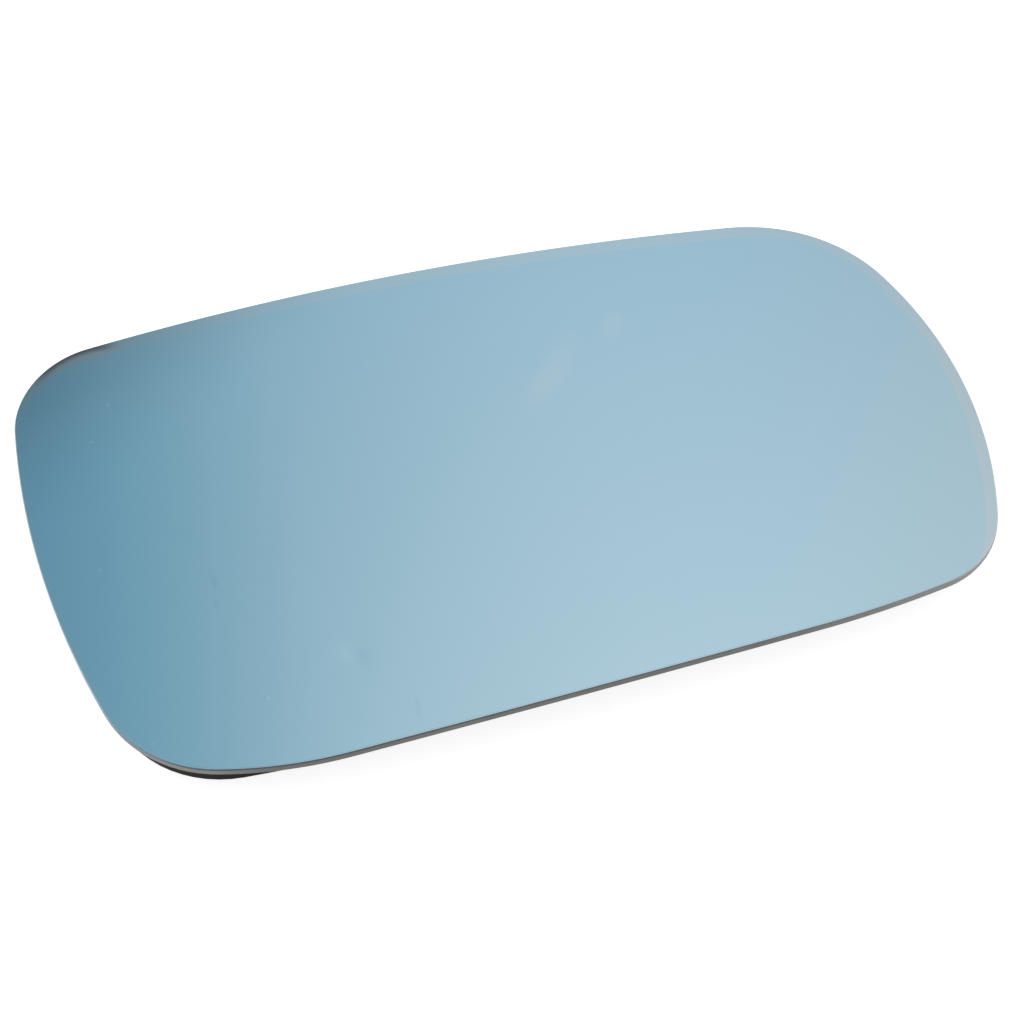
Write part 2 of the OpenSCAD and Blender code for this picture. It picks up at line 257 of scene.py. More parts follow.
DENTING = [
    ("dx", "SUBTRACT", "x", "Dent x"),
    ("dy", "SUBTRACT", "y", "Dent y"),
    ("cos", "COSINE", "Dent turn"),
    ("sin", "SINE", "Dent turn"),
    ("dx cos", "MULTIPLY", "dx", "cos"),
    ("dy sin", "MULTIPLY", "dy", "sin"),
    ("dy cos", "MULTIPLY", "dy", "cos"),
    ("dx sin", "MULTIPLY", "dx", "sin"),
    ("along", "ADD", "dx cos", "dy sin"),
    ("across", "SUBTRACT", "dy cos", "dx sin"),
    ("long share", "DIVIDE", "along", "Dent length"),
    ("wide share", "DIVIDE", "across", "Dent width"),
    ("long square", "MULTIPLY", "long share", "long share"),
    ("wide square", "MULTIPLY", "wide share", "wide share"),
    ("away", "ADD", "long square", "wide square"),
    ("minus away", "MULTIPLY", "away", -1.0),
    ("fall", "EXPONENT", "minus away"),
    ("dent", "MULTIPLY", "fall", "Dent depth"),
    ("wave", "SUBTRACT", "noise", NOISE_MIDDLE),
    ("ripple", "MULTIPLY", "wave", "Ripple height"),
    ("marks", "SUBTRACT", "ripple", "dent"),
    ("on top", "GREATER_THAN", "level", TOP_LEVEL),
    ("top marks", "MULTIPLY", "marks", "on top"),
    ("height", "ADD", "dome", "top marks")]


def add_sums(tree, known, sums):
    """Adds a Math node for each line of a list, whose inputs are numbers or named results."""
    for name, operation, *terms in sums:
        inputs = {place: known.get(term, term) for place, term in enumerate(terms)}
        known[name] = add_node(tree, "ShaderNodeMath", inputs, operation=operation).outputs[0]
    return known


print("sums in the bend:", len(BENDING) + len(DENTING))


# %% Node tree that bends a sheet
def tree_with_inputs(name, inputs):
    """An empty Geometry Nodes tree with named number inputs, and its input node's outputs by name."""
    tree = bpy.data.node_groups.new(name, "GeometryNodeTree")
    tree.interface.new_socket(name="Geometry", in_out="INPUT", socket_type="NodeSocketGeometry")
    for label, value in inputs.items():
        socket = tree.interface.new_socket(name=label, in_out="INPUT", socket_type="NodeSocketFloat")
        socket.default_value = value
    tree.interface.new_socket(name="Geometry", in_out="OUTPUT", socket_type="NodeSocketGeometry")
    given = add_node(tree, "NodeGroupInput").outputs
    return tree, {label: given[label] for label in ("Geometry", *inputs)}


def bending_tree(finishes):
    """Sinks a flat sheet to the dome, marks its top, and sets a finish for each zone."""
    tree, known = tree_with_inputs("Bend to the dome", SHEET_INPUTS)
    place = add_node(tree, "GeometryNodeInputPosition").outputs[0]
    x, y, level = add_node(tree, "ShaderNodeSeparateXYZ", {0: place}).outputs
    known.update({"x": x, "y": y, "level": level})
    scale = add_node(tree, "ShaderNodeMath", {0: 1.0, 1: known["Ripple size"]}, operation="DIVIDE")
    waves = add_node(tree, "ShaderNodeTexNoise",
                     {"Vector": place, "Scale": scale.outputs[0], "Detail": 1.0, "Roughness": 0.4})
    known["noise"] = waves.outputs[0]
    add_sums(tree, known, BENDING + DENTING)
    bent = add_node(tree, "ShaderNodeCombineXYZ", {0: x, 1: y, 2: known["height"]}).outputs[0]
    moved = add_node(tree, "GeometryNodeSetPosition", {"Geometry": known["Geometry"], "Position": bent})
    done = add_node(tree, "GeometryNodeRealizeInstances", {"Geometry": moved.outputs[0]}).outputs[0]
    zone = add_node(tree, "GeometryNodeInputNamedAttribute", {"Name": "zone"}, data_type="INT")
    for number, finish in enumerate(finishes):
        chosen = add_node(tree, "FunctionNodeCompare", {2: zone.outputs[0], 3: number},
                          data_type="INT", operation="EQUAL").outputs[0]
        done = add_node(tree, "GeometryNodeSetMaterial",
                        {"Geometry": done, "Selection": chosen, "Material": finish}).outputs[0]
    add_node(tree, "NodeGroupOutput", {"Geometry": done})
    return tree


def bake_tree(piece, tree, **values):
    """Runs a node tree on a piece and keeps the result as a plain mesh, with no modifier left."""
    modifier = piece.modifiers.new("shape", "NODES")
    modifier.node_group = tree
    identifiers = {s.name: s.identifier for s in tree.interface.items_tree if s.in_out == "INPUT"}
    for name, value in values.items():
        modifier[identifiers[name.replace("_", " ")]] = value
    evaluated = piece.evaluated_get(bpy.context.evaluated_depsgraph_get())
    finished = bpy.data.meshes.new_from_object(evaluated)
    piece.modifiers.clear()
    piece.data = finished
    return piece


print("inputs of the bend:", ", ".join(SHEET_INPUTS))

# %% [markdown]
# ## Finish of the bare mirror coat
# The face is a first surface mirror: chromium put on the front of the glass under vacuum. It is
# a metal, so the shader is fully metallic with the default IOR, and its colour is the cool grey
# of chromium. It is almost flawless, so the roughness is very low, and only a breath of it
# varies, as on a plate that was wiped by hand.
# %% Coated face
CHROMIUM = "#B5C6D0"
FACE_ROUGHNESS = (0.03, 0.06)
WIPED_PATCH = 12.0
NOISE_SPAN = {"From Min": 0.3, "From Max": 0.7}


def hand_wiped(tree, shader, low, high):
    """Roughness that drifts a little over the face, in patches about a centimetre wide."""
    place = add_node(tree, "ShaderNodeTexCoord").outputs["Object"]
    patches = add_node(tree, "ShaderNodeTexNoise",
                       {"Vector": place, "Scale": 1 / (WIPED_PATCH * MM), "Detail": 3.0}).outputs[0]
    spread = add_node(tree, "ShaderNodeMapRange",
                      {"Value": patches, "To Min": low, "To Max": high, **NOISE_SPAN})
    tree.links.new(spread.outputs[0], shader.inputs["Roughness"])
    return place


coated_face, tree, shader = new_material("vacuum_coated_chromium", Metallic=1.0)
face_place = hand_wiped(tree, shader, *FACE_ROUGHNESS)
print("face finish:", coated_face.name)

# %% [markdown]
# ## Marks on the mirror
# The photograph shows a used mirror: faint wipes, a few dark spots, dust, and a dark stretch in
# one corner. Each is an ellipse with a soft edge, listed by its place x and y, its half width and
# half height in millimetres, and its turn in degrees. A mask says where it is, and a colour is
# mixed in there.
# %% Soft spots and tints
def soft_spot(tree, place, x, y, half_w, half_h, turn=0.0, soft=0.7, height=12.0):
    """Mask of 1 inside an ellipse at (x, y) that fades to 0 at its edge."""
    local = add_node(tree, "ShaderNodeMapping",
                     {"Vector": place, "Location": (x * MM, y * MM, height * MM),
                      "Rotation": (0.0, 0.0, math.radians(turn)),
                      "Scale": (half_w * MM, half_h * MM, 1.0)}, vector_type="TEXTURE")
    far = add_node(tree, "ShaderNodeVectorMath", {0: local.outputs[0]}, operation="LENGTH")
    return add_node(tree, "ShaderNodeMapRange",
                    {"Value": far.outputs["Value"], "From Min": 1.0, "From Max": 1.0 - soft,
                     "To Min": 0.0, "To Max": 1.0}, interpolation_type="SMOOTHSTEP").outputs[0]


def tint_where(tree, base, mask, strength, hex_code):
    """Mixes a colour in where a mask says, up to the given strength."""
    share = add_node(tree, "ShaderNodeMath", {0: mask, 1: strength}, operation="MULTIPLY").outputs[0]
    return add_node(tree, "ShaderNodeMix", {"Factor": share, "A": base, "B": colour(hex_code)},
                    data_type="RGBA").outputs["Result"]


# %% [markdown]
# The bare margin is warmer in the top left corner, and along the cut there the coat goes thin and
# dark. That stretch follows the corner, so its mask is what lies outside a circle about the
# corner's own centre, and it fades at both ends.
# %% Thin coat in the corner
THIN_COAT = "#968082"
WARM_COAT = "#C6C0C1"
THIN_FROM, THIN_FADE = 16.6, 0.085
THIN_STRETCH = (-71.9, 50.0, 10.5, 4.5, 14)
WARM_PATCH = (-74.0, 48.0, 17.0, 8.0, 14)
TOP_LEFT = 3
corner_x, corner_y = arcs_of(*GLASS_SHAPE)[TOP_LEFT][0]

tree, shader = coated_face.node_tree, coated_face.node_tree.nodes["Principled BSDF"]
kept = soft_spot(tree, face_place, corner_x, corner_y, THIN_FROM, THIN_FROM, soft=THIN_FADE)
bare = add_node(tree, "ShaderNodeMath", {0: 1.0, 1: kept}, operation="SUBTRACT").outputs[0]
stretch = soft_spot(tree, face_place, *THIN_STRETCH, soft=0.6)
thin = add_node(tree, "ShaderNodeMath", {0: bare, 1: stretch}, operation="MULTIPLY").outputs[0]
warm = soft_spot(tree, face_place, *WARM_PATCH, soft=0.8)
tone = tint_where(tree, colour(CHROMIUM), warm, strength=0.8, hex_code=WARM_COAT)
tone = tint_where(tree, tone, thin, strength=1.0, hex_code=THIN_COAT)
tree.links.new(tone, shader.inputs["Base Color"])
print("corner's centre in mm:", round(corner_x, 2), round(corner_y, 2))

# %% [markdown]
# ## Finish of the blue film
# The blue layer is a clear film with a dye, seen over the mirror. To the eye that is a mirror
# whose reflection is blue, so it is metallic too, with a bluer colour than the bare coat. Where
# it was wiped the blue is thinner. The dark spots are specks of dirt, and the bright ones dust.
# Their outlines are made uneven by a fine noise that shifts the place a little.
# %% Colours and marks of the film
FILM_BLUE = "#ABC6D4"
THIN_BLUE = "#B6C9D3"
DARK_SPOT = "#7C97A6"
DUST = "#DCE8EE"
WIPES = ((14.2, 15.5, 4.0, 13.0, -42), (28.6, 23.1, 3.0, 4.6, -20))
SPOTS = ((-57.0, -9.1, 0.9, 2.4, 12), (-57.5, -13.8, 0.7, 1.8, 8), (-27.7, -46.4, 0.8, 3.0, -10))
SPECKS = ((-72.3, 29.3, 0.5, 0.5, 0), (-67.7, 37.1, 0.6, 0.6, 0), (-76.2, 0.6, 0.6, 0.6, 0),
          (-74.5, -38.3, 0.5, 0.5, 0), (-52.8, -35.8, 0.4, 0.4, 0))
FILM_MARKS = ((WIPES, 0.6, THIN_BLUE), (SPOTS, 0.1, DARK_SPOT), (SPECKS, 0.2, DUST))
FILM_ROUGHNESS = (0.04, 0.09)
CLOUD_SIZE, CLOUD_SHARE = 20.0, 0.08
UNEVEN_SIZE, UNEVEN_SHIFT = 6.0, 2.0

blue_film, tree, shader = new_material("blue_dyed_film", Metallic=1.0)
place = hand_wiped(tree, shader, *FILM_ROUGHNESS)
warp = add_node(tree, "ShaderNodeTexNoise",
                {"Vector": place, "Scale": 1 / (UNEVEN_SIZE * MM), "Detail": 2.0})
moved = add_node(tree, "ShaderNodeVectorMath", {0: warp.outputs["Color"], 1: (NOISE_MIDDLE,) * 3},
                 operation="SUBTRACT").outputs[0]
moved = add_node(tree, "ShaderNodeVectorMath", {0: moved, 1: (UNEVEN_SHIFT * MM, UNEVEN_SHIFT * MM, 0.0)},
                 operation="MULTIPLY").outputs[0]
uneven = add_node(tree, "ShaderNodeVectorMath", {0: place, 1: moved}, operation="ADD").outputs[0]
clouds = add_node(tree, "ShaderNodeTexNoise",
                  {"Vector": place, "Scale": 1 / (CLOUD_SIZE * MM), "Detail": 4.0}).outputs[0]
tone = tint_where(tree, colour(FILM_BLUE), clouds, CLOUD_SHARE, THIN_BLUE)
for marks, strength, hex_code in FILM_MARKS:
    for x, y, half_w, half_h, turn in marks:
        spot = soft_spot(tree, uneven, x, y, half_w, half_h, turn)
        tone = tint_where(tree, tone, spot, strength, hex_code)
tree.links.new(tone, shader.inputs["Base Color"])
print("marks on the film:", sum(len(marks) for marks, strength, hex_code in FILM_MARKS))

# %% [markdown]
# One small dent is bent into the sheet later on. Its rim is added here as relief, because it is
# finer than the mesh. It is listed as the marks are, by half width, half height and turn.
# %% Rim of the dent
DENT = (-35.9, -32.6)
DENT_RIM = (2.5, 3.8, 38)
DENT_RELIEF = 0.02

pressed = soft_spot(tree, place, *DENT, *DENT_RIM, soft=1.0)
relief = add_node(tree, "ShaderNodeBump",
                  {"Height": pressed, "Strength": 1.0, "Distance": DENT_RELIEF * MM}, invert=True)
tree.links.new(relief.outputs[0], shader.inputs["Normal"])
print("film finish nodes:", len(tree.nodes))

# %% [markdown]
# ## Finish of the ground edge
# The edge is ground flat on a wet stone, which leaves it frosted and grey, with fine scratches along it.
# Both ends of the bottom edge are painted paler: this is painted light, where the edge turns away from
# the dark front of the studio. The front bevel was ground before the coat went on, so it is coated too,
# and shows as a thin bright line. Grit of 0.1 mm is too fine for a picture of the whole glass, so the
# grain is drawn at 0.4 mm.
# %% Ground edge and bevel
EDGE_LIGHT, EDGE_DARK = "#BBB7B1", "#837F7B"
BEVEL_LIGHT, BEVEL_DARK = "#C9D6E2", "#B4C0CC"
GRIT, GRIT_DEPTH = 0.4, 0.05
EDGE_PATCH = 7.0
PAINTED_LIGHT_ENDS = ((35.0, 72.0), (-57.0, -66.0))


def ground_glass(name, hex_light, hex_dark, roughness, metal=0.0, patches=1.0, ends=0.0):
    """Frosted glass with a fine grain, patchy in tone, and with painted light that makes it paler towards
    its two ends.
    """
    material, tree, shader = new_material(name, Roughness=roughness, Metallic=metal)
    place = add_node(tree, "ShaderNodeTexCoord").outputs["Object"]
    x = add_node(tree, "ShaderNodeSeparateXYZ", {0: place}).outputs["X"]
    noise = add_node(tree, "ShaderNodeTexNoise",
                     {"Vector": place, "Scale": 1 / (EDGE_PATCH * MM), "Detail": 3.0})
    pale = add_node(tree, "ShaderNodeMath", {0: noise.outputs[0], 1: patches},
                    operation="MULTIPLY").outputs[0]
    # Painted light: the tone grows paler towards both ends in x.
    for inner, outer in PAINTED_LIGHT_ENDS:
        end = add_node(tree, "ShaderNodeMapRange", {"Value": x, "From Min": inner * MM,
                                                    "From Max": outer * MM, "To Max": ends}).outputs[0]
        pale = add_node(tree, "ShaderNodeMath", {0: pale, 1: end}, operation="ADD").outputs[0]
    tone = add_node(tree, "ShaderNodeMix",
                    {"Factor": pale, "A": colour(hex_dark), "B": colour(hex_light)},
                    data_type="RGBA").outputs["Result"]
    grain = add_node(tree, "ShaderNodeTexNoise",
                     {"Vector": place, "Scale": 1 / (GRIT * MM), "Detail": 2.0}).outputs[0]
    relief = add_node(tree, "ShaderNodeBump",
                      {"Height": grain, "Strength": 0.35, "Distance": GRIT_DEPTH * MM})
    tree.links.new(tone, shader.inputs["Base Color"])
    tree.links.new(relief.outputs[0], shader.inputs["Normal"])
    return material


# The paler ends of this edge are painted light.
ground_edge = ground_glass("frosted_ground_edge", EDGE_LIGHT, EDGE_DARK, roughness=0.5,
                           patches=0.58, ends=0.71)
bevel_line = ground_glass("coated_bevel", BEVEL_LIGHT, BEVEL_DARK, roughness=0.3, metal=1.0)
print("edge finishes:", ground_edge.name, bevel_line.name)

# %% [markdown]
# From behind, the coat is seen through the glass: a mirror with a greenish cast, under the clear
# gloss of the glass itself. That is a metal with a clear coat of the index of glass.
# %% Back of the glass
BACK_GREEN = "#8FA19B"
BACK_ROUGHNESS = (0.05, 0.12)

mirror_back, tree, shader = new_material("mirror_seen_through_glass", Base_Color=colour(BACK_GREEN),
                                         Metallic=1.0, Coat_Weight=1.0, Coat_Roughness=0.02,
                                         Coat_IOR=1.52)
hand_wiped(tree, shader, *BACK_ROUGHNESS)
FRONT, BEVEL, EDGE, BACK = range(4)
glass_finishes = [coated_face, bevel_line, ground_edge, mirror_back]
print("finishes of the glass:", len(glass_finishes))

# %% [markdown]
# ## The glass
# The section of the glass goes from the coated face over the front bevel, down the ground edge
# and round to the back. Where two zones meet, the edge of the mesh is marked sharp, so that the
# face stays a true dome right up to the bevel.
# %% Bend the glass
DOME_R = 1400.0
GLASS_T = 1.8
ARRIS = 0.2
REAR_ARRIS = 0.35
CROWN_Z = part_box("mirror_glass")[1].z
SHARP_TURN = math.radians(20)
FACE_RELIEF = dict(Dent_x=DENT[0] * MM, Dent_y=DENT[1] * MM, Dent_length=3.6 * MM,
                   Dent_width=2.2 * MM, Dent_turn=math.radians(-64), Dent_depth=0.02 * MM,
                   Ripple_height=0.003 * MM, Ripple_size=9 * MM)


def bent_sheet(piece, finishes, **values):
    """Bends a flat sheet to the dome, shades it smooth and keeps its corners sharp."""
    bake_tree(piece, bending_tree(finishes), Dome_radius=DOME_R * MM, **values)
    piece.data.shade_smooth()
    piece.data.set_sharp_from_angle(angle=SHARP_TURN)
    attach(piece, "root")
    return piece


glass = flat_sheet("glass_plate", GLASS_SHAPE, FRONT, BACK,
                   [(ARRIS, 0.0, BEVEL), (0.0, -ARRIS, EDGE), (0.0, REAR_ARRIS - GLASS_T, EDGE),
                    (REAR_ARRIS, -GLASS_T, BACK)])
bent_sheet(glass, glass_finishes, Crown_height=CROWN_Z, **FACE_RELIEF)
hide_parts("mirror_glass")
print("glass:", len(glass.data.polygons), "faces,", len(glass_finishes), "finishes")

# %% [markdown]
# ## The film
# The film lies on the coated face and stops short of its edge, by more at the top and the right
# than at the left and the bottom. It takes the same bend, dent and ripple as the glass, so it
# lies close on it everywhere.
# %% Lay the film
FILM_T = 0.03
FILM_ZONE = 0

film = flat_sheet("blue_film", FILM_SHAPE, FILM_ZONE, FILM_ZONE,
                  [(0.0, FILM_T, FILM_ZONE), (0.0, 0.0, FILM_ZONE)])
bent_sheet(film, [blue_film], Crown_height=CROWN_Z, **FACE_RELIEF)
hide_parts("tint_film")
print("film:", len(film.data.polygons), "faces")

# %% [markdown]
# ## Black plastic
# The plate is moulded in ABS with carbon black. Its mould was spark eroded, which gives a fine
# even grain, a soft sheen and no gloss. The real grain is under 0.1 mm, so it is drawn at 0.35 mm
# to show. Nothing moulded has a knife edge: the Bevel node bends the shading round every edge, as
# a radius of 0.2 mm does, and leaves the solid as it is.
# %% Moulded finish
CARBON_BLACK = "#181717"
EROSION_GRAIN, EROSION_DEPTH = 0.35, 0.05
WORN_PATCH = 14.0
SHEEN = (0.42, 0.6)
MOULD_EDGE = 0.2

black_abs, tree, shader = new_material("spark_eroded_black_abs", Base_Color=colour(CARBON_BLACK),
                                       IOR=1.54, Specular_IOR_Level=0.12)
place = add_node(tree, "ShaderNodeTexCoord").outputs["Object"]
grain = add_node(tree, "ShaderNodeTexNoise",
                 {"Vector": place, "Scale": 1 / (EROSION_GRAIN * MM), "Detail": 2.0}).outputs[0]
worn = add_node(tree, "ShaderNodeTexNoise",
                {"Vector": place, "Scale": 1 / (WORN_PATCH * MM), "Detail": 4.0}).outputs[0]
sheen = add_node(tree, "ShaderNodeMapRange",
                 {"Value": worn, "To Min": SHEEN[0], "To Max": SHEEN[1], **NOISE_SPAN}).outputs[0]
rounded = add_node(tree, "ShaderNodeBevel", {"Radius": MOULD_EDGE * MM}, samples=4).outputs[0]
relief = add_node(tree, "ShaderNodeBump", {"Height": grain, "Strength": 0.5, "Normal": rounded,
                                           "Distance": EROSION_DEPTH * MM}).outputs[0]
tree.links.new(sheen, shader.inputs["Roughness"])
tree.links.new(relief, shader.inputs["Normal"])
print("plate finish nodes:", len(tree.nodes))

# %% [markdown]
# ## Foam
# The pad is closed cell foam tape: dull, and full of cells of about a third of a millimetre that its cut
# edge lays open. Each cell is painted darker in its middle, as painted shade in its hollow where it is
# deepest.
# %% Foamed finish
FOAM_CELL, CELL_DEPTH = 0.35, 0.1
SHADED_CELL_MIDDLE, CELL_WALL = "#1B1B1A", "#3A3937"

foam_tape, tree, shader = new_material("closed_cell_foam", Roughness=0.95)
place = add_node(tree, "ShaderNodeTexCoord").outputs["Object"]
cells = add_node(tree, "ShaderNodeTexVoronoi",
                 {"Vector": place, "Scale": 1 / (FOAM_CELL * MM)}).outputs["Distance"]
# Painted shade: each cell darkens towards its middle, where its hollow is deepest.
tone = add_node(tree, "ShaderNodeMix",
                {"Factor": cells, "A": colour(SHADED_CELL_MIDDLE), "B": colour(CELL_WALL)},
                data_type="RGBA").outputs["Result"]
hollow = add_node(tree, "ShaderNodeBump",
                  {"Height": cells, "Strength": 0.6, "Distance": CELL_DEPTH * MM})
tree.links.new(tone, shader.inputs["Base Color"])
tree.links.new(hollow.outputs[0], shader.inputs["Normal"])
print("foam finish nodes:", len(tree.nodes))

# %% [markdown]
# ## The plate and the pad
# The plate's ribs, rings and seats, and the pad cut square from tape, are all in the solids
# already. So the solids stay as they are and only take their finishes.
# %% Finish the solids
def dress(node, finish):
    """Gives a solid of the frame its finish, in every slot that it has."""
    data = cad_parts[node].data
    if not data.materials:
        data.materials.append(finish)
    for index in range(len(data.materials)):
        data.materials[index] = finish
    print(node, "takes", finish.name)


dress("adhesive_pad", foam_tape)
dress("backing_plate", black_abs)

# %% [markdown]
# ## Ejector marks
# A moulded plate is pushed out of its mould by pins, and each pin leaves a small round land that
# stands a little proud. They sit between the ribs, in a round ring and an oval one, so they
# repeat, and Geometry Nodes make them: one disc on each point of a ring, tilted to the dome, and
# sunk into the floor. The floor's underside has the same centre as the face, so its height
# follows from the same rule. A ring is listed by its count of marks, its half length and half
# width in millimetres, and its turn in degrees.
# %% Node tree for the ejector marks
PAD_T = 0.8
FLOOR_T = 1.8
PIN_INPUTS = {"Pin radius": 0.0015, "Pin depth": 0.0004, "Under radius": 1.4, "Dome centre": -1.387}
PIN_RINGS = ((4, 25.0, 25.0, 45.0), (6, 66.0, 27.0, 0.0))
PIN_SIDES = 24


def pin_tree(finish):
    """Discs in round or oval rings on a ball of the under radius, each square to the ball."""
    tree, known = tree_with_inputs("Ejector marks", PIN_INPUTS)
    disc = add_node(tree, "GeometryNodeMeshCylinder",
                    {"Vertices": PIN_SIDES, "Radius": known["Pin radius"], "Depth": known["Pin depth"]})
    rings = add_node(tree, "GeometryNodeJoinGeometry")
    for count, half_length, half_width, turn in PIN_RINGS:
        points = add_node(tree, "GeometryNodeMeshCircle", {"Vertices": count, "Radius": MM})
        spread = add_node(tree, "GeometryNodeTransform",
                          {"Geometry": points.outputs[0], "Rotation": (0.0, 0.0, math.radians(turn)),
                           "Scale": (half_length, half_width, 1.0)})
        tree.links.new(spread.outputs[0], rings.inputs[0])
    place = add_node(tree, "GeometryNodeInputPosition").outputs[0]
    x, y, level = add_node(tree, "ShaderNodeSeparateXYZ", {0: place}).outputs
    known.update({"x": x, "y": y})
    add_sums(tree, known, [("x squared", "MULTIPLY", "x", "x"), ("y squared", "MULTIPLY", "y", "y"),
                           ("d squared", "ADD", "x squared", "y squared"),
                           ("R squared", "MULTIPLY", "Under radius", "Under radius"),
                           ("up squared", "SUBTRACT", "R squared", "d squared"),
                           ("up", "SQRT", "up squared"), ("height", "ADD", "up", "Dome centre")])
    outward = add_node(tree, "ShaderNodeCombineXYZ", {0: x, 1: y, 2: known["up"]}).outputs[0]
    seat = add_node(tree, "ShaderNodeCombineXYZ", {0: x, 1: y, 2: known["height"]}).outputs[0]
    tilt = add_node(tree, "FunctionNodeAlignRotationToVector", {"Vector": outward}, axis="Z")
    placed = add_node(tree, "GeometryNodeInstanceOnPoints",
                      {"Points": rings.outputs[0], "Instance": disc.outputs["Mesh"],
                       "Rotation": tilt.outputs[0]})
    lifted = add_node(tree, "GeometryNodeSetPosition",
                      {"Geometry": placed.outputs[0], "Position": seat})
    done = add_node(tree, "GeometryNodeRealizeInstances", {"Geometry": lifted.outputs[0]})
    done = add_node(tree, "GeometryNodeSetMaterial", {"Geometry": done.outputs[0], "Material": finish})
    add_node(tree, "NodeGroupOutput", {"Geometry": done.outputs[0]})
    return tree


print("inputs of the marks:", ", ".join(PIN_INPUTS))

# %% Set the ejector marks
PIN_R = 1.5
PIN_PROUD = 0.12
PIN_SUNK = 0.3

pins = bpy.data.objects.new("ejector_marks", bpy.data.meshes.new("ejector_marks"))
bpy.context.scene.collection.objects.link(pins)
under_radius = DOME_R - GLASS_T - PAD_T - FLOOR_T
pin_middle = under_radius + (PIN_SUNK - PIN_PROUD) / 2
bake_tree(pins, pin_tree(black_abs), Pin_radius=PIN_R * MM, Pin_depth=(PIN_PROUD + PIN_SUNK) * MM,
          Under_radius=pin_middle * MM, Dome_centre=CROWN_Z - DOME_R * MM)
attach(pins, "root")
pin_count = sum(ring[0] for ring in PIN_RINGS)
print("ejector marks:", pin_count, "in", len(pins.data.polygons), "faces")

# %% [markdown]
# ## Camera
# The camera stands where the photographer's did: above and in front of the glass, a little to
# its left, with a slight roll. The place was worked out from the outline of the glass.
# %% Camera
EYE = Vector((-48.87, -315.22, 468.15)) * MM
LOOK_AT = Vector((-1.06, -12.4, 12.8)) * MM
ROLL = math.radians(-7.87)
FOCAL = 105.47

lens = bpy.data.cameras.new("camera")
lens.lens = FOCAL
lens.sensor_width = 36.0
lens.clip_start = 0.01
camera = bpy.data.objects.new("camera", lens)
camera.location = EYE
aim = (LOOK_AT - EYE).to_track_quat("-Z", "Y").to_matrix()
camera.rotation_euler = (aim @ Matrix.Rotation(ROLL, 3, "Z")).to_euler()
bpy.context.scene.collection.objects.link(camera)
bpy.context.scene.camera = camera
print("camera to glass in mm:", round((LOOK_AT - EYE).length / MM, 1))

# %% [markdown]
# ## Studio
# A mirror shows only what stands round it, so its look is made with light and not with paint.
# The studio is white, with one large soft card in the left rear that is darker and bluer, like
# the blue of a north window. The face shows the white at its right and the edge of the card at
# its left. A helper turns the angle between a direction and the middle of a card into a share
# that is 1 in the card and fades to 0 outside it. All angles of cards are in degrees.
# %% Helpers for cards
world = bpy.data.worlds.new("studio")
bpy.context.scene.world = world
world.use_nodes = True
studio = world.node_tree
looking = add_node(studio, "ShaderNodeTexCoord").outputs["Generated"]


def angle_from(bearing, height):
    """Angle between where a ray looks and the middle of a card, given in degrees."""
    turn, lift = math.radians(bearing), math.radians(height)
    middle = (math.cos(lift) * math.cos(turn), math.cos(lift) * math.sin(turn), math.sin(lift))
    cosine = add_node(studio, "ShaderNodeVectorMath", {0: looking, 1: middle},
                      operation="DOT_PRODUCT").outputs["Value"]
    return add_node(studio, "ShaderNodeMath", {0: cosine}, operation="ARCCOSINE").outputs[0]


def card_share(bearing, height, inner, outer):
    """1 inside the inner angle of a card, 0 outside the outer one, and soft between."""
    return add_node(studio, "ShaderNodeMapRange",
                    {"Value": angle_from(bearing, height), "From Min": math.radians(outer),
                     "From Max": math.radians(inner)}, interpolation_type="SMOOTHSTEP").outputs[0]


print("studio world:", world.name)

# %% [markdown]
# The blue card is wide and its edge is soft. The colours from the card to the white are listed by
# their angle from the card's middle, and a ramp runs smoothly through them.
# %% Blue card
WHITE = (1.0, 1.0, 1.0, 1.0)
BLUE_CARD = (160, 20)
SKY = ((52, "#8EB6C8"), (56, "#A6CCD7"), (61, "#D6E8EE"),
       (69, "#F4FCFF"), (76, "#EFFAFF"), (82, "#ECF0F1"))

sky_from, sky_to = SKY[0][0], SKY[-1][0]
off_card = add_node(studio, "ShaderNodeMapRange",
                    {"Value": angle_from(*BLUE_CARD), "From Min": math.radians(sky_from),
                     "From Max": math.radians(sky_to)}).outputs[0]
sky = add_node(studio, "ShaderNodeValToRGB", {"Fac": off_card})
sky.color_ramp.interpolation = "B_SPLINE"
stops = sky.color_ramp.elements
stops.remove(stops[0])
for number, (angle, hex_code) in enumerate(SKY):
    where = (angle - sky_from) / (sky_to - sky_from)
    stop = stops[0] if number == 0 else stops.new(where)
    stop.position = where
    stop.color = colour(hex_code)
print("stops between the card and the white:", len(stops))

# %% [markdown]
# Two more things tell in the face. The studio is a little cooler towards the rear than in front,
# and a dark card stands low in the rear, whose edge just shows in the top left corner. Only the
# mirror sees these tints. What is matt is lit by plain white, apart from the camera's own side
# of the studio, which is dark: that is why the edge of the glass is darkest where it faces the
# camera. The camera itself sees plain white beside the part. `REAR_FROM` and `REAR_TO` say where
# the cooler part begins and is full, as shares of the way to the rear.
# %% Tints, dark cards and who sees them
REAR_FROM, REAR_TO = 0.43, 0.67
FRONT_TINT = (1.149, 1.086, 1.055, 1.0)
REAR_TINT = (0.865, 0.919, 0.947, 1.0)
DARK_CARD = (0.60, 0.50, 0.48, 1.0)
DARK_CARD_AT, DARK_CARD_EDGE = (110, 10), (33.2, 42.8)
CAMERA_SIDE = (0.12, 0.12, 0.12, 1.0)
CAMERA_SIDE_AT, CAMERA_SIDE_EDGE = (255, 20), (15, 85)

